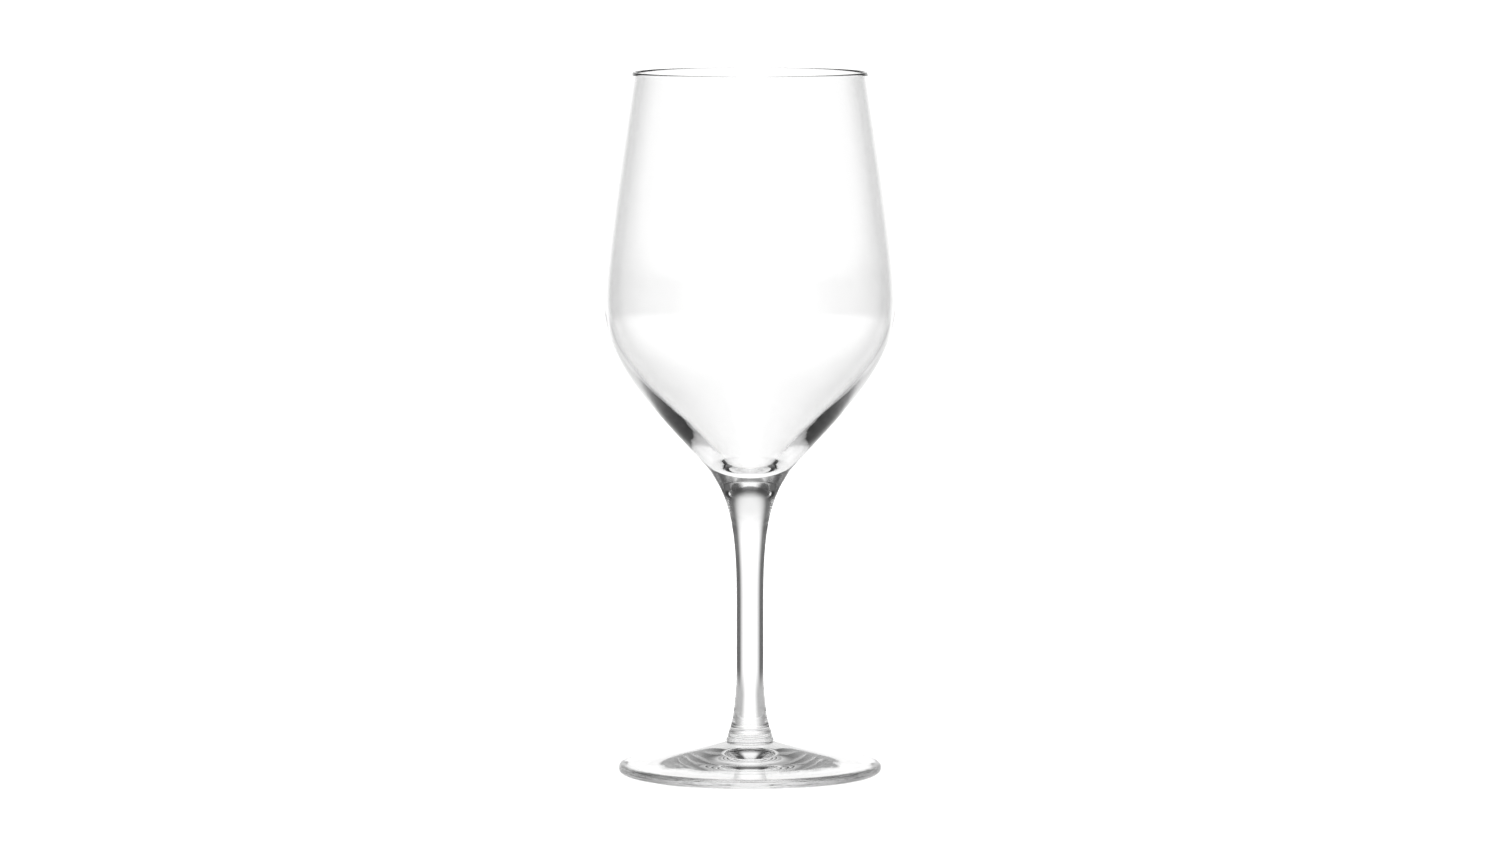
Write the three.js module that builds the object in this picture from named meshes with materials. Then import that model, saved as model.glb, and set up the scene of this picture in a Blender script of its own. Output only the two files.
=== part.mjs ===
// A stemmed wine glass of clear glass. The bowl holds about 440 ml to the brim.
//
// It has four bodies of glass, each fused to the next while hot:
// the blown bowl, the drawn stem, the welded collar and the pressed foot.
// Every body is turned about the same upright axis, +Z.
// The origin is on that axis, at the level that the foot stands on.
// Neighbours share one flat circle, the weld, at exactly the same height.

import * as THREE from 'three';

// ---------- Driving dimensions, in millimetres and degrees ----------

// Heights, from the table up. Together they make the overall height of 205.
const footHeight = 9; // from the table to the weld with the collar
const collarHeight = 2.9;
const stemLength = 73.6;
const floorThickness = 3.8; // solid glass from the stem's weld to the lowest point inside the bowl
const bowlDepth = 115.7; // from that lowest point to the rim

// Bowl, outside
const rimRadius = 34.1;
const rimLean = 8; // the wall at the rim leans outwards, going down, by this angle
const bellyRadius = 42.5;
const bellyBelowRim = 66; // from the rim down to the widest level
const neckRadius = 9.65; // at the weld with the stem
const neckHeight = 3.4; // from that weld up to the crease under the bowl
const neckAngle = 31; // of the flared glass at the weld, from the axis
const outerConeAngle = 42; // of the bowl's outside just above the crease, from the axis

// Bowl, thickness of the glass, square to the outside
const rimWall = 1.0;
const bellyWall = 1.1;
const coneWall = 5; // at the crease, from where it thins up to the belly, ever more gently
const floorFlatness = 0.5; // how far out the bottom inside keeps level, as a share of the cone's end

// Stem
const stemRadius = 3.9;
const upperFlareLength = 35.5;
const lowerFlareLength = 20;
const lowerFlareAngle = 26; // of the stem's side at the collar, from the axis

// Collar, the ring of glass where the stem is welded to the foot
const collarTopRadius = 6.38; // at the weld with the stem
const collarTaper = 0.12; // the band above the bulge widens by this much, going down
const collarBulge = 0.45; // the bulge stands out from the band by this much
const collarBulgeHeight = 1.5; // from the weld with the foot up to the bulge's top
const collarUndercut = 0.25; // the weld with the foot is smaller than the bulge by this much

// Foot
const footRadius = 38.5;
const footHubMargin = 0.35; // the raised middle is wider than the collar's bulge by this much
const footHubSlope = 16.7; // of the upper side beside the collar, from level
const footRimSlope = 5.7; // of the upper side beside the edge, from level
const footEdgeThickness = 3;
const footWidestHeight = 1.65; // height of the edge's widest point
const edgeTopRounding = 2; // how far in the edge's upper rounding reaches
const edgeBottomRounding = 2.5; // how far in the edge's lower rounding reaches
const restRingWidth = 1.5; // width of the flat ring that touches the table
const footHollow = 3; // height of the hollow under the middle

// How firmly each curve keeps to the direction of its start and its end.
// Each value is a share of the straight distance between the two ends.
const conePull = { start: 0.425, end: 0.325 };
const shoulderPull = { start: 0.21, end: 0.18 };
const lowerFlarePull = { start: 0.25, end: 0.15 };
const upperFlarePull = { start: 0.39, end: 0.28 };

// ---------- Fineness of the facets ----------

const wideFacets = 64; // round the bowl and the foot
const slimFacets = 40; // round the stem and the collar
const bowlSteps = 7; // along each curve of the bowl's wall
const floorSteps = 4; // along the bottom inside
const stemSteps = 8;
const collarSteps = 3;
const footSteps = 5;

// ---------- Levels and radii worked out from the dimensions ----------

const footWeldLevel = footHeight;
const collarWeldLevel = footWeldLevel + collarHeight;
const bowlWeldLevel = collarWeldLevel + stemLength;
const innerFloorLevel = bowlWeldLevel + floorThickness;
const rimLevel = innerFloorLevel + bowlDepth;
const bellyLevel = rimLevel - bellyBelowRim;
const collarBandRadius = collarTopRadius + collarTaper;
const collarBulgeRadius = collarBandRadius + collarBulge;
const footHubRadius = collarBulgeRadius + footHubMargin;

// ---------- Helpers ----------

const across = (angle) => Math.sin(THREE.MathUtils.degToRad(angle));
const along = (angle) => Math.cos(THREE.MathUtils.degToRad(angle));
const slope = (angle) => Math.tan(THREE.MathUtils.degToRad(angle));

// A curve between two points of an outline, which has x as the radius and y as the height.
// Its two directions are angles from straight up, turning outwards.
function bend(start, startAngle, end, endAngle, pull) {
  const reach = start.distanceTo(end);
  const leave = new THREE.Vector2(across(startAngle), along(startAngle));
  const arrive = new THREE.Vector2(across(endAngle), along(endAngle));
  return new THREE.CubicBezierCurve(
    start,
    start.clone().addScaledVector(leave, reach * pull.start),
    end.clone().addScaledVector(arrive, -reach * pull.end),
    end,
  );
}

// The inner side of a wall whose outer side is a curve that runs upwards.
function lining(curve, steps, wallAt) {
  const points = [];
  for (let step = 0; step <= steps; step += 1) {
    const share = step / steps;
    const { x, y } = curve.getTangent(share);
    const inwards = new THREE.Vector2(-y, x);
    points.push(curve.getPoint(share).addScaledVector(inwards, wallAt(share)));
  }
  return points;
}

// Turns an outline that starts and ends on the axis into a named closed body.
function turn(name, outline, facets, color) {
  const geometry = new THREE.LatheGeometry(outline, facets);
  geometry.rotateX(Math.PI / 2);
  const material = new THREE.MeshStandardMaterial({ color, roughness: 0.03, metalness: 0 });
  const piece = new THREE.Mesh(geometry, material);
  piece.name = name;
  return piece;
}

const point = (radius, height) => new THREE.Vector2(radius, height);

// ---------- Bowl ----------

function makeBowl() {
  const creaseRadius = neckRadius + neckHeight * slope(neckAngle);
  const crease = point(creaseRadius, bowlWeldLevel + neckHeight);
  const belly = point(bellyRadius, bellyLevel);
  const shoulder = point(rimRadius, rimLevel - rimWall / 2);
  const cone = bend(crease, outerConeAngle, belly, 0, conePull);
  const side = bend(belly, 0, shoulder, -rimLean, shoulderPull);

  const { lerp } = THREE.MathUtils;
  const sideLining = lining(side, bowlSteps, (share) => lerp(bellyWall, rimWall, share));
  const coneLining = lining(cone, bowlSteps, (share) => lerp(bellyWall, coneWall, (1 - share) ** 2));
  const floor = new THREE.QuadraticBezierCurve(
    coneLining[0],
    point(coneLining[0].x * floorFlatness, innerFloorLevel),
    point(0, innerFloorLevel),
  );
  const innerShoulder = sideLining.at(-1);
  // The fire-polished rim is rounded on both sides of the wall's middle.
  const rimTop = [
    point(lerp(shoulder.x, innerShoulder.x, 0.25), rimLevel),
    point(lerp(shoulder.x, innerShoulder.x, 0.75), rimLevel),
  ];
  const outline = [
    point(0, bowlWeldLevel),
    point(neckRadius, bowlWeldLevel),
    ...cone.getPoints(bowlSteps),
    ...side.getPoints(bowlSteps).slice(1),
    ...rimTop,
    ...sideLining.reverse(),
    ...coneLining.reverse().slice(1),
    ...floor.getPoints(floorSteps).slice(1),
  ];
  return turn('bowl', outline, wideFacets, 0xf4f8f8);
}

// ---------- Stem ----------

function makeStem() {
  const low = point(collarTopRadius, collarWeldLevel);
  const slimLow = point(stemRadius, collarWeldLevel + lowerFlareLength);
  const slimHigh = point(stemRadius, bowlWeldLevel - upperFlareLength);
  const high = point(neckRadius, bowlWeldLevel);
  const outline = [
    point(0, collarWeldLevel),
    ...bend(low, -lowerFlareAngle, slimLow, 0, lowerFlarePull).getPoints(stemSteps),
    ...bend(slimHigh, 0, high, neckAngle, upperFlarePull).getPoints(stemSteps),
    point(0, bowlWeldLevel),
  ];
  return turn('stem', outline, slimFacets, 0xf2f7f7);
}

// ---------- Collar ----------

function makeCollar() {
  const bulgeTop = footWeldLevel + collarBulgeHeight;
  const bulgeMiddle = footWeldLevel + collarBulgeHeight / 2;
  const outline = new THREE.Path();
  outline.moveTo(0, footWeldLevel);
  outline.lineTo(collarBulgeRadius - collarUndercut, footWeldLevel);
  outline.quadraticCurveTo(collarBulgeRadius, footWeldLevel, collarBulgeRadius, bulgeMiddle);
  outline.quadraticCurveTo(collarBulgeRadius, bulgeTop, collarBandRadius, bulgeTop);
  outline.lineTo(collarTopRadius, collarWeldLevel);
  outline.lineTo(0, collarWeldLevel);
  return turn('collar', outline.getPoints(collarSteps), slimFacets, 0xf0f6f6);
}

// ---------- Foot ----------

function makeFoot() {
  const ringOuter = footRadius - edgeBottomRounding;
  const ringInner = ringOuter - restRingWidth;
  const edgeTopRadius = footRadius - edgeTopRounding;
  // The upper side is one curve. Its two end slopes would meet at the turning point.
  const rise = footWeldLevel - footEdgeThickness;
  const hubDrop = footHubRadius * slope(footHubSlope);
  const edgeDrop = edgeTopRadius * slope(footRimSlope);
  const turningRadius = (rise + hubDrop - edgeDrop) / (slope(footHubSlope) - slope(footRimSlope));
  const turningLevel = footEdgeThickness + (edgeTopRadius - turningRadius) * slope(footRimSlope);
  // The hollow is part of a large sphere through its middle and the ring's inner edge.
  const hollowSphere = (ringInner * ringInner + footHollow * footHollow) / (2 * footHollow);
  const hollowAngle = Math.asin(ringInner / hollowSphere);
  const sphereCentre = footHollow - hollowSphere;

  const outline = new THREE.Path();
  outline.absarc(0, sphereCentre, hollowSphere, Math.PI / 2, Math.PI / 2 - hollowAngle, true);
  outline.lineTo(ringOuter, 0);
  outline.quadraticCurveTo(footRadius, 0, footRadius, footWidestHeight);
  outline.quadraticCurveTo(footRadius, footEdgeThickness, edgeTopRadius, footEdgeThickness);
  outline.quadraticCurveTo(turningRadius, turningLevel, footHubRadius, footWeldLevel);
  outline.lineTo(0, footWeldLevel);
  return turn('foot', outline.getPoints(footSteps), wideFacets, 0xf3f8f8);
}

// ---------- The whole glass ----------

const glass = new THREE.Group();
glass.add(makeBowl(), makeStem(), makeCollar(), makeFoot());

export default glass;
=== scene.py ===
"""A clear stemmed wine glass on a pale studio floor."""

import math

import bmesh
import bpy
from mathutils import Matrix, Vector


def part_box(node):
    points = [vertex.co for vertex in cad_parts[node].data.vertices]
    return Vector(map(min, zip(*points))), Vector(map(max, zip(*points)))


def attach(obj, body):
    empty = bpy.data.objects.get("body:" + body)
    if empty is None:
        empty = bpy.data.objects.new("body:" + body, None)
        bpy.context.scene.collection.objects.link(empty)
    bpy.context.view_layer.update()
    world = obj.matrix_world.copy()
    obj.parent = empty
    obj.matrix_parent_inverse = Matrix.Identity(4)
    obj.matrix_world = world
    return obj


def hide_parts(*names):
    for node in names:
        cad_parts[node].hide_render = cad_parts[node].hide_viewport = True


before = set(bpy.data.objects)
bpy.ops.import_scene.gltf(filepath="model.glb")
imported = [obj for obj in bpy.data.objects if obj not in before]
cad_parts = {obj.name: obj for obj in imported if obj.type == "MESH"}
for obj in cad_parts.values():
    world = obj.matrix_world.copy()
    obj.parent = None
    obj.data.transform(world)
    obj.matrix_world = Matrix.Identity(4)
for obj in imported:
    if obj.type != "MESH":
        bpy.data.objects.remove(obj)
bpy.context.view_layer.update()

MM = 0.001

# ---------- Sizes ----------
# Lengths are in metres and angles in degrees. Angles are measured from straight up, except the two
# slopes of the foot, which are measured from level.

# Levels and widths that the frame gives
FOOT_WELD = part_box("foot")[1].z
COLLAR_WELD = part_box("collar")[1].z
BOWL_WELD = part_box("bowl")[0].z
RIM_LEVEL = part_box("bowl")[1].z
BELLY_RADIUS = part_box("bowl")[1].x
FOOT_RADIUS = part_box("foot")[1].x
NECK_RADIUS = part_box("stem")[1].x
COLLAR_BULGE_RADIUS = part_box("collar")[1].x

# Bowl
RIM_RADIUS = 34.1 * MM
RIM_LEAN = 8
BELLY_BELOW_RIM = 66 * MM
NECK_HEIGHT = 3.4 * MM
NECK_ANGLE = 31
CONE_ANGLE = 42
FLOOR_THICKNESS = 3.8 * MM
FLOOR_FLATNESS = 0.5
RIM_WALL = 1.0 * MM
BELLY_WALL = 1.1 * MM
CONE_WALL = 5 * MM

# Stem
STEM_RADIUS = 3.9 * MM
UPPER_FLARE = 35.5 * MM
LOWER_FLARE = 20 * MM
LOWER_FLARE_ANGLE = 26

# Collar, with a groove where it meets the stem
COLLAR_TOP_RADIUS = 6.38 * MM
COLLAR_BAND_RADIUS = 6.5 * MM
BULGE_HEIGHT = 1.5 * MM
UNDERCUT = 0.25 * MM
SEAM_DEPTH = 0.22 * MM
SEAM_RISE = 0.30 * MM

# Foot
HUB_RADIUS = 7.3 * MM
HUB_SLOPE = 16.7
EDGE_SLOPE = 5.7
EDGE_THICKNESS = 3 * MM
WIDEST_HEIGHT = 1.65 * MM
EDGE_TOP_ROUNDING = 2 * MM
EDGE_BOTTOM_ROUNDING = 2.5 * MM
REST_RING = 1.5 * MM
HOLLOW = 3 * MM

# Height and radius of the flat circle where each two neighbours are welded
SEAM_RADIUS = COLLAR_TOP_RADIUS - SEAM_DEPTH
UNDERCUT_RADIUS = COLLAR_BULGE_RADIUS - UNDERCUT
BOWL_JOIN = (BOWL_WELD, NECK_RADIUS)
COLLAR_JOIN = (COLLAR_WELD, SEAM_RADIUS)
FOOT_JOIN = (FOOT_WELD, UNDERCUT_RADIUS)

# Curve pulls, as shares of the straight distance between a curve's ends
CONE_PULL = (0.425, 0.325)
SHOULDER_PULL = (0.21, 0.18)
LOWER_FLARE_PULL = (0.25, 0.15)
UPPER_FLARE_PULL = (0.39, 0.28)

# How finely each stretch of an outline and the way round a piece are divided
CONE_STEPS = 60
SIDE_STEPS = 50
FLOOR_STEPS = 20
RIM_STEPS = 8
LOWER_FLARE_STEPS = 60
UPPER_FLARE_STEPS = 50
BULGE_STEPS = 8
HOLLOW_STEPS = 40
EDGE_STEPS = 12
FOOT_TOP_STEPS = 60
AROUND = 320

# Lengths closer than this count as the same
CLOSE = 0.001 * MM

# Waviness of the glass surface: its breadth, its depth, its detail and how far it is drawn out upwards
WAVINESS_SIZE = 9 * MM
WAVINESS_DEPTH = 0.012 * MM
WAVINESS_DETAIL = 2
DRAWN_SHARE = 0.3

# Unevenness of the foot's underside and edge and of the collar: its depth, how many of each wave fit
# round the piece, and how far each wave is turned from the one before, in radians
FOOT_UNEVEN = 0.12 * MM
FOOT_WAVES = (3, 5, 11, 17)
COLLAR_UNEVEN = 0.06 * MM
COLLAR_WAVES = (2, 7, 13, 23)
WAVE_SHIFT = 1.7

GLASS_IOR = 1.5

# Places of the two materials in a piece's list
GLASS_INDEX = 0
WELD_INDEX = 1

# ---------- Curves ----------


def direction(angle):
    """A direction in an outline, as an angle from straight up, turning outwards."""
    return Vector((math.sin(math.radians(angle)), math.cos(math.radians(angle))))


def cubic(a, b, c, d, steps):
    """Points along a curve from a to d that b and c pull towards themselves."""
    points = []
    for i in range(steps + 1):
        t = i / steps
        s = 1 - t
        points.append(a * s**3 + b * 3 * s * s * t + c * 3 * s * t * t + d * t**3)
    return points


def bend(start, start_angle, end, end_angle, pull, steps):
    """A curve that leaves its start and reaches its end in given directions."""
    reach = (end - start).length
    first = start + direction(start_angle) * reach * pull[0]
    second = end - direction(end_angle) * reach * pull[1]
    return cubic(start, first, second, end, steps)


def quadratic(a, b, c, steps):
    """Points along a curve from a to c that b pulls towards itself."""
    return cubic(a, a + (b - a) * 2 / 3, c + (b - c) * 2 / 3, c, steps)


def corner(a, b):
    """The outline point at the radius of one point and the height of another."""
    return Vector((a.x, b.y))


def lining(outer, wall_at):
    """Points inwards of an outline that runs upwards, by the wall's thickness."""
    points = []
    last = len(outer) - 1
    for i, here in enumerate(outer):
        before = outer[max(i - 1, 0)]
        after = outer[min(i + 1, last)]
        tangent = (after - before).normalized()
        inwards = Vector((-tangent.y, tangent.x))
        points.append(here + inwards * wall_at(i / last))
    return points


def mix(a, b, t):
    """The number that is a share t of the way from a to b."""
    return a + (b - a) * t


# ---------- Turning an outline into a piece ----------


def waves(angle, counts):
    """Soft unevenness round a piece, from 0 to 1, as a mean of waves that fit the circle."""
    total = 0
    for i, count in enumerate(counts):
        total += 0.5 + 0.5 * math.sin(count * angle + WAVE_SHIFT * i)
    return total / len(counts)


def make_rings(bm, outline, uneven):
    """A ring of vertices for each point of an outline, or one vertex where the point is on the axis."""
    rings = []
    for point in outline:
        if point.x < CLOSE:
            rings.append([bm.verts.new((0, 0, point.y))])
            continue
        ring = []
        for step in range(AROUND):
            angle = 2 * math.pi * step / AROUND
            here = point + uneven(point, angle) if uneven else point
            ring.append(bm.verts.new((here.x * math.cos(angle), here.x * math.sin(angle), here.y)))
        rings.append(ring)
    return rings


def join_rings(bm, low, high):
    """The faces between two neighbouring rings, one of which may be a single vertex."""
    for here in range(AROUND):
        after = (here + 1) % AROUND
        if len(low) == 1:
            bm.faces.new((low[0], high[after], high[here]))
        elif len(high) == 1:
            bm.faces.new((low[here], low[after], high[0]))
        else:
            bm.faces.new((low[here], low[after], high[after], high[here]))


def is_weld(face, joins):
    """Whether a face is flat and lies in one of the circles where pieces are welded."""
    height = face.calc_center_median().z
    reach = max(v.co.xy.length for v in face.verts)
    if any(abs(v.co.z - height) >= CLOSE for v in face.verts):
        return False
    return any(abs(height - level) < CLOSE and reach < radius + CLOSE for level, radius in joins)


def turn(name, outline, joins, uneven=None):
    """Turns an outline, which starts and ends on the axis, into a closed piece of glass."""
    bm = bmesh.new()
    rings = make_rings(bm, outline, uneven)
    for low, high in zip(rings, rings[1:]):
        join_rings(bm, low, high)
    for face in bm.faces:
        welded = is_weld(face, joins)
        face.smooth = not welded
        face.material_index = WELD_INDEX if welded else GLASS_INDEX
    bmesh.ops.recalc_face_normals(bm, faces=bm.faces)
    for edge in bm.edges:
        kinds = {face.material_index for face in edge.link_faces}
        if len(kinds) > 1:
            edge.smooth = False
    mesh = bpy.data.meshes.new(name)
    bm.to_mesh(mesh)
    bm.free()
    for material in (GLASS, WELD):
        mesh.materials.append(material)
    piece = bpy.data.objects.new(name, mesh)
    bpy.context.scene.collection.objects.link(piece)
    return piece


# ---------- Materials ----------


def clear_glass():
    """Colourless glass whose surface is very slightly wavy, as if drawn out upwards."""
    mat = bpy.data.materials.new("clear_glass")
    mat.use_nodes = True
    nodes = mat.node_tree.nodes
    links = mat.node_tree.links
    shader = nodes["Principled BSDF"]
    shader.inputs["Base Color"].default_value = (1, 1, 1, 1)
    shader.inputs["Roughness"].default_value = 0
    shader.inputs["IOR"].default_value = GLASS_IOR
    shader.inputs["Transmission Weight"].default_value = 1
    coords = nodes.new("ShaderNodeTexCoord")
    drawn = nodes.new("ShaderNodeMapping")
    drawn.inputs["Scale"].default_value = (1, 1, DRAWN_SHARE)
    noise = nodes.new("ShaderNodeTexNoise")
    noise.inputs["Scale"].default_value = 1 / WAVINESS_SIZE
    noise.inputs["Detail"].default_value = WAVINESS_DETAIL
    bump = nodes.new("ShaderNodeBump")
    bump.inputs["Distance"].default_value = WAVINESS_DEPTH
    links.new(coords.outputs["Object"], drawn.inputs["Vector"])
    links.new(drawn.outputs["Vector"], noise.inputs["Vector"])
    links.new(noise.outputs["Fac"], bump.inputs["Height"])
    links.new(bump.outputs["Normal"], shader.inputs["Normal"])
    return mat


def weld():
    """Lets light straight through, so that two welded pieces read as one body of glass."""
    mat = bpy.data.materials.new("weld")
    mat.use_nodes = True
    nodes = mat.node_tree.nodes
    nodes.clear()
    clear = nodes.new("ShaderNodeBsdfTransparent")
    out = nodes.new("ShaderNodeOutputMaterial")
    mat.node_tree.links.new(clear.outputs[0], out.inputs["Surface"])
    return mat


GLASS = clear_glass()
WELD = weld()

# ---------- Pieces ----------


def make_bowl():
    """A thin-walled cup on a thick solid base."""
    crease = Vector((
        NECK_RADIUS + NECK_HEIGHT * math.tan(math.radians(NECK_ANGLE)),
        BOWL_WELD + NECK_HEIGHT,
    ))
    belly = Vector((BELLY_RADIUS, RIM_LEVEL - BELLY_BELOW_RIM))
    shoulder = Vector((RIM_RADIUS, RIM_LEVEL - RIM_WALL / 2))
    cone = bend(crease, CONE_ANGLE, belly, 0, CONE_PULL, CONE_STEPS)
    side = bend(belly, 0, shoulder, -RIM_LEAN, SHOULDER_PULL, SIDE_STEPS)
    side_in = lining(side, lambda t: mix(BELLY_WALL, RIM_WALL, t))
    cone_in = lining(cone, lambda t: mix(BELLY_WALL, CONE_WALL, (1 - t) ** 2))
    bottom = Vector((0, BOWL_WELD + FLOOR_THICKNESS))
    pull = Vector((cone_in[0].x * FLOOR_FLATNESS, bottom.y))
    floor = quadratic(cone_in[0], pull, bottom, FLOOR_STEPS)
    centre = (side[-1] + side_in[-1]) / 2
    half = (side[-1] - side_in[-1]) / 2
    rim = []
    for i in range(1, RIM_STEPS):
        a = math.pi * i / RIM_STEPS
        rim.append(centre + half * math.cos(a) + Vector((0, half.length)) * math.sin(a))
    outline = (
        [Vector((0, BOWL_WELD)), Vector((NECK_RADIUS, BOWL_WELD))]
        + cone + side[1:] + rim
        + side_in[::-1] + cone_in[::-1][1:] + floor[1:]
    )
    return turn("bowl_glass", outline, [BOWL_JOIN])


def make_stem():
    """A slim rod that flares out to the collar and to the neck of the bowl."""
    low = Vector((COLLAR_TOP_RADIUS, COLLAR_WELD))
    slim_low = Vector((STEM_RADIUS, COLLAR_WELD + LOWER_FLARE))
    slim_high = Vector((STEM_RADIUS, BOWL_WELD - UPPER_FLARE))
    high = Vector((NECK_RADIUS, BOWL_WELD))
    seam = Vector((SEAM_RADIUS, COLLAR_WELD))
    outline = (
        [Vector((0, COLLAR_WELD)), seam]
        + bend(low, -LOWER_FLARE_ANGLE, slim_low, 0, LOWER_FLARE_PULL, LOWER_FLARE_STEPS)[1:]
        + bend(slim_high, 0, high, NECK_ANGLE, UPPER_FLARE_PULL, UPPER_FLARE_STEPS)
        + [Vector((0, BOWL_WELD))]
    )
    return turn("stem_glass", outline, [BOWL_JOIN, COLLAR_JOIN])


def make_collar():
    """A bulged ring of glass with a groove at its top."""
    low = Vector((UNDERCUT_RADIUS, FOOT_WELD))
    widest = Vector((COLLAR_BULGE_RADIUS, FOOT_WELD + BULGE_HEIGHT / 2))
    high = Vector((COLLAR_BAND_RADIUS, FOOT_WELD + BULGE_HEIGHT))
    outline = (
        [Vector((0, FOOT_WELD))]
        + quadratic(low, corner(widest, low), widest, BULGE_STEPS)
        + quadratic(widest, corner(widest, high), high, BULGE_STEPS)[1:]
        + [
            Vector((COLLAR_TOP_RADIUS, COLLAR_WELD - SEAM_RISE)),
            Vector((SEAM_RADIUS, COLLAR_WELD)),
            Vector((0, COLLAR_WELD)),
        ]
    )

    def uneven(point, angle):
        """Draws the side in between the two welds."""
        band = FOOT_WELD < point.y < COLLAR_WELD
        return Vector((-COLLAR_UNEVEN * waves(angle, COLLAR_WAVES) if band else 0, 0))

    return turn("collar_glass", outline, [FOOT_JOIN, COLLAR_JOIN], uneven)


def make_foot():
    """A round disc that rests on a ring, with a hollow underside and a raised middle."""
    ring_out = FOOT_RADIUS - EDGE_BOTTOM_ROUNDING
    ring_in = ring_out - REST_RING
    hub_slope = math.tan(math.radians(HUB_SLOPE))
    edge_slope = math.tan(math.radians(EDGE_SLOPE))
    under = Vector((ring_out, 0))
    widest = Vector((FOOT_RADIUS, WIDEST_HEIGHT))
    edge_radius = FOOT_RADIUS - EDGE_TOP_ROUNDING
    edge_top = Vector((edge_radius, EDGE_THICKNESS))
    hub = Vector((HUB_RADIUS, FOOT_WELD))

    # Where the slope down from the hub meets the slope up from the edge
    gap = FOOT_WELD - EDGE_THICKNESS + HUB_RADIUS * hub_slope - edge_radius * edge_slope
    meet_radius = gap / (hub_slope - edge_slope)
    meet = Vector((meet_radius, EDGE_THICKNESS + (edge_radius - meet_radius) * edge_slope))

    # The underside is part of a sphere
    sphere = (ring_in**2 + HOLLOW**2) / (2 * HOLLOW)
    hollow = []
    for i in range(HOLLOW_STEPS + 1):
        r = ring_in * i / HOLLOW_STEPS
        hollow.append(Vector((r, HOLLOW - sphere + math.sqrt(sphere**2 - r * r))))
    outline = (
        hollow
        + quadratic(under, corner(widest, under), widest, EDGE_STEPS)
        + quadratic(widest, corner(widest, edge_top), edge_top, EDGE_STEPS)[1:]
        + quadratic(edge_top, meet, hub, FOOT_TOP_STEPS)[1:]
        + [Vector((UNDERCUT_RADIUS, FOOT_WELD)), Vector((0, FOOT_WELD))]
    )

    def uneven(point, angle):
        """Lifts the underside, more so further out, and draws the edge in, fading out up the edge."""
        if point.y >= EDGE_THICKNESS:
            return Vector((0, 0))
        share = min(point.x / ring_out, 1) ** 2
        if point.x > ring_in:
            share *= 1 - point.y / EDGE_THICKNESS
        depth = FOOT_UNEVEN * waves(angle, FOOT_WAVES) * share
        return Vector((-depth if point.x > ring_out else 0, depth))

    return turn("foot_glass", outline, [FOOT_JOIN], uneven)


MAKERS = {
    "bowl": make_bowl,
    "stem": make_stem,
    "collar": make_collar,
    "foot": make_foot,
}

for node, make in MAKERS.items():
    piece = make()
    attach(piece, "root")
    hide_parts(node)

# ---------- Camera ----------

# The lens is in millimetres and the rest in metres.
CAMERA_LENS = 173.6
CAMERA_BACK = 2.1
CAMERA_HEIGHT = 0.2878
AIM_HEIGHT = 0.10295
VIEW_END = 100

camera = bpy.data.objects.new("camera", bpy.data.cameras.new("camera"))
camera.data.lens = CAMERA_LENS
camera.data.clip_end = VIEW_END
camera.location = (0, -CAMERA_BACK, CAMERA_HEIGHT)
aim = Vector((0, 0, AIM_HEIGHT)) - camera.location
camera.rotation_euler = aim.to_track_quat("-Z", "Y").to_euler()
bpy.context.scene.collection.objects.link(camera)
bpy.context.scene.camera = camera

# ---------- Studio ----------

# From the panel to the ground, these say how light the studio is in each direction. A direction's
# three parts run from -1 to 1: sideways to the right, backwards from the camera, and upwards. Names
# that end in TONE or SHARE say how light it is. The others say where along one of those parts a
# change starts and ends.

# White panel behind the glass, a little darker towards its top
BACK_TONE = 1.14
BACK_UPPER_TONE = 0.93
BACK_LOWER = 0.0
BACK_UPPER = 0.22
BACK_EDGE = 0.74
BACK_FULL = 0.97

# Dim room at the sides, and its lighter front
SIDE_TONE = 0.20
FRONT_TONE = 0.85
FRONT_EDGE = 0.52
FRONT_FULL = 0.85

# Dark flags at the far left and right
FLAG_START = 0.80
FLAG_FULL = 0.97
FLAG_SHARE = 0.10

# Dark ceiling, with a light strip that runs from front to back over the glass
TOP_TONE = 0.10
TOP_START = 0.33
TOP_FULL = 0.60
STRIP_TONE = 1.0
STRIP_EDGE = 0.15
STRIP_END = 0.40
STRIP_START = 0.70
STRIP_FULL = 0.85

# Pale ground, lightest straight behind the glass, with a darker dip on both sides of that
GROUND_TONE = 0.88
GROUND_BACK_TONE = 1.08
GROUND_DIP_TONE = 0.60
GROUND_START = -0.14
GROUND_FULL = -0.22
DIP_START = 0.16
DIP_DEEP = 0.42
DIP_RISE = 0.78
DIP_END = 0.93
BEHIND_START = -0.1
BEHIND_FULL = 0.2

# Floor, in metres, and the light on it, whose breadth is in degrees
STAGE_RADIUS = 3.0
STAGE_SEGMENTS = 96
STAGE_DROP = 0.02 * MM
FLOOR_ALBEDO = 0.8
SUN_STRENGTH = 3.8
SUN_BREADTH = 60

# How the picture is shown, and how often light may pass through or bounce off the glass
GAMMA = 0.75
BOUNCES = 128


def ramp(tree, value, start, end, low, high):
    """A smooth step of a number from low, up to start, to high, from end on."""
    node = tree.nodes.new("ShaderNodeMapRange")
    node.interpolation_type = "SMOOTHSTEP"
    tree.links.new(value, node.inputs["Value"])
    for socket, number in zip(("From Min", "From Max", "To Min", "To Max"), (start, end, low, high)):
        node.inputs[socket].default_value = number
    return node.outputs["Result"]


def blend(tree, factor, first, second):
    """Goes from the first number to the second one as the factor goes from 0 to 1."""
    node = tree.nodes.new("ShaderNodeMix")
    tree.links.new(factor, node.inputs["Factor"])
    for socket, value in (("A", first), ("B", second)):
        if isinstance(value, float):
            node.inputs[socket].default_value = value
        else:
            tree.links.new(value, node.inputs[socket])
    return node.outputs["Result"]


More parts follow.
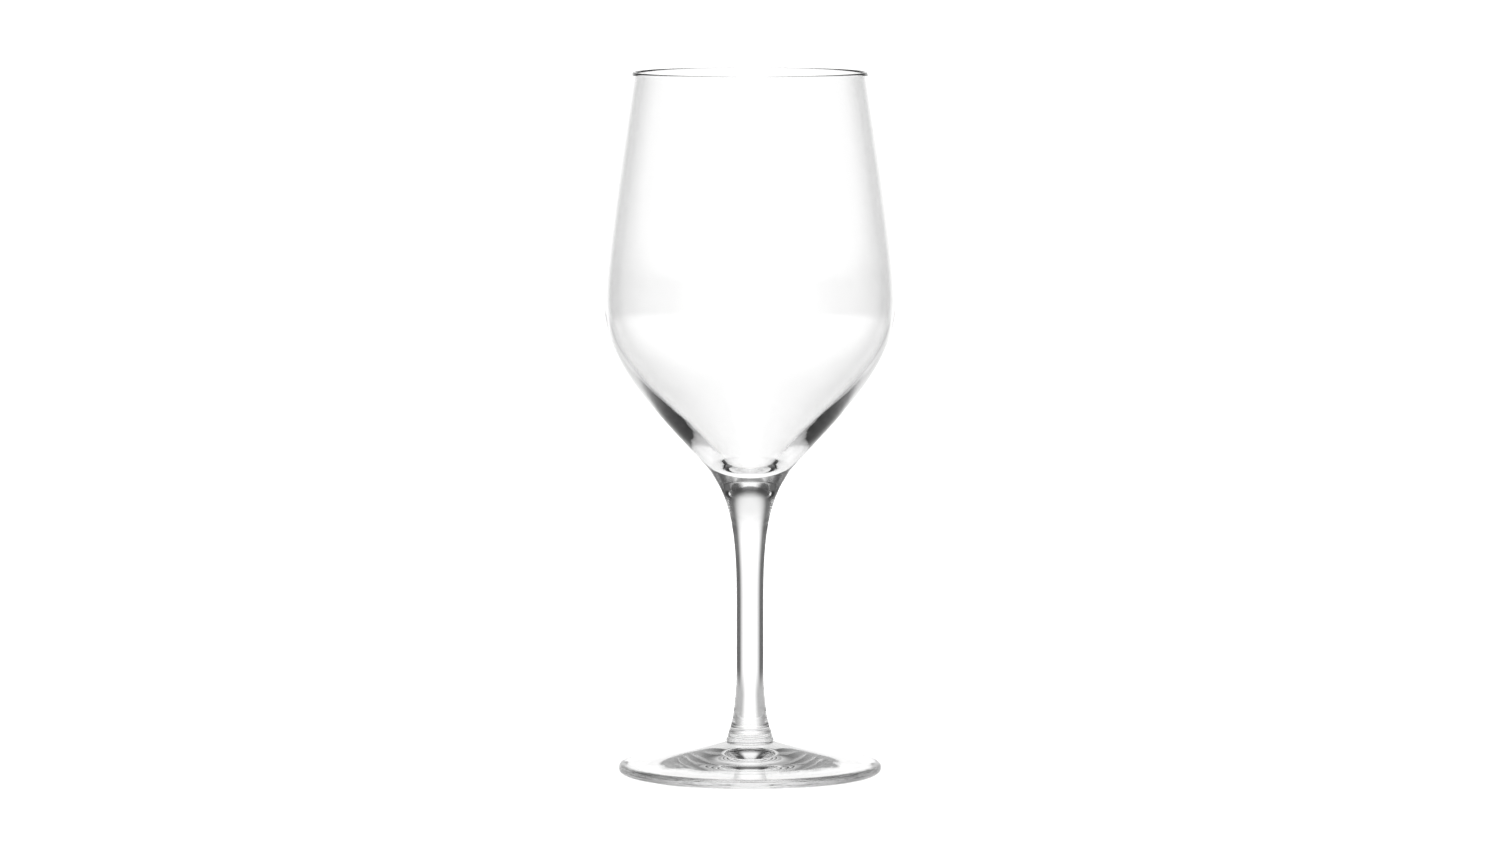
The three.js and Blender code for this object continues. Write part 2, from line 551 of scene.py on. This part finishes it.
def product(tree, first, second):
    """One number times another."""
    node = tree.nodes.new("ShaderNodeMath")
    node.operation = "MULTIPLY"
    tree.links.new(first, node.inputs[0])
    tree.links.new(second, node.inputs[1])
    return node.outputs[0]


def room_light(tree, sideways, backwards, upwards):
    """The panel behind, the dim room and the flags."""
    front = ramp(tree, backwards, -FRONT_FULL, -FRONT_EDGE, FRONT_TONE, SIDE_TONE)
    panel = ramp(tree, backwards, BACK_EDGE, BACK_FULL, 0.0, 1.0)
    back = ramp(tree, upwards, BACK_LOWER, BACK_UPPER, BACK_TONE, BACK_UPPER_TONE)
    flags = ramp(tree, sideways, FLAG_START, FLAG_FULL, 1.0, FLAG_SHARE)
    return product(tree, blend(tree, panel, front, back), flags)


def ceiling_light(tree, sideways, upwards):
    """The dark ceiling and the strip in it."""
    across = ramp(tree, sideways, STRIP_EDGE, STRIP_END, STRIP_TONE, TOP_TONE)
    strip = ramp(tree, upwards, STRIP_START, STRIP_FULL, 0.0, 1.0)
    return blend(tree, strip, TOP_TONE, across)


def ground_light(tree, sideways, backwards):
    """The pale ground and its dips."""
    dip = ramp(tree, sideways, DIP_START, DIP_DEEP, GROUND_BACK_TONE, GROUND_DIP_TONE)
    outer = ramp(tree, sideways, DIP_RISE, DIP_END, 0.0, 1.0)
    behind = ramp(tree, backwards, BEHIND_START, BEHIND_FULL, 0.0, 1.0)
    return blend(tree, behind, GROUND_TONE, blend(tree, outer, dip, GROUND_TONE))


def make_world():
    """The room, the ceiling over it and the ground under it, as the light from each direction."""
    world = bpy.data.worlds.new("studio")
    world.use_nodes = True
    tree = world.node_tree
    coords = tree.nodes.new("ShaderNodeTexCoord")
    axes = tree.nodes.new("ShaderNodeSeparateXYZ")
    tree.links.new(coords.outputs["Generated"], axes.inputs[0])
    either_side = tree.nodes.new("ShaderNodeMath")
    either_side.operation = "ABSOLUTE"
    tree.links.new(axes.outputs["X"], either_side.inputs[0])
    sideways = either_side.outputs[0]
    backwards = axes.outputs["Y"]
    upwards = axes.outputs["Z"]
    overhead = ramp(tree, upwards, TOP_START, TOP_FULL, 0.0, 1.0)
    room = room_light(tree, sideways, backwards, upwards)
    upper = blend(tree, overhead, room, ceiling_light(tree, sideways, upwards))
    below = ramp(tree, upwards, GROUND_FULL, GROUND_START, 1.0, 0.0)
    light = blend(tree, below, upper, ground_light(tree, sideways, backwards))
    tree.links.new(light, tree.nodes["Background"].inputs["Color"])
    return world


def make_floor():
    """A matt disc that only the camera sees. The glass meets the pale ground instead."""
    mat = bpy.data.materials.new("floor")
    mat.use_nodes = True
    shader = mat.node_tree.nodes["Principled BSDF"]
    shader.inputs["Base Color"].default_value = (FLOOR_ALBEDO, FLOOR_ALBEDO, FLOOR_ALBEDO, 1)
    shader.inputs["Roughness"].default_value = 1
    shader.inputs["IOR"].default_value = 1
    bm = bmesh.new()
    bmesh.ops.create_circle(bm, cap_ends=True, segments=STAGE_SEGMENTS, radius=STAGE_RADIUS)
    mesh = bpy.data.meshes.new("floor")
    bm.to_mesh(mesh)
    bm.free()
    mesh.materials.append(mat)
    floor = bpy.data.objects.new("floor", mesh)
    floor.location.z = -STAGE_DROP
    bpy.context.scene.collection.objects.link(floor)
    floor.visible_transmission = False
    floor.visible_glossy = False


def make_overhead_light():
    """A broad light on the floor that casts no shadow and isn't seen in the glass."""
    data = bpy.data.lights.new("overhead", "SUN")
    data.energy = SUN_STRENGTH
    data.angle = math.radians(SUN_BREADTH)
    data.use_shadow = False
    light = bpy.data.objects.new("overhead", data)
    light.visible_glossy = False
    light.visible_transmission = False
    bpy.context.scene.collection.objects.link(light)


scene = bpy.context.scene
scene.world = make_world()
make_floor()
make_overhead_light()
scene.view_settings.view_transform = "Standard"
scene.view_settings.gamma = GAMMA
scene.cycles.max_bounces = BOUNCES
scene.cycles.transmission_bounces = BOUNCES
scene.cycles.glossy_bounces = BOUNCES
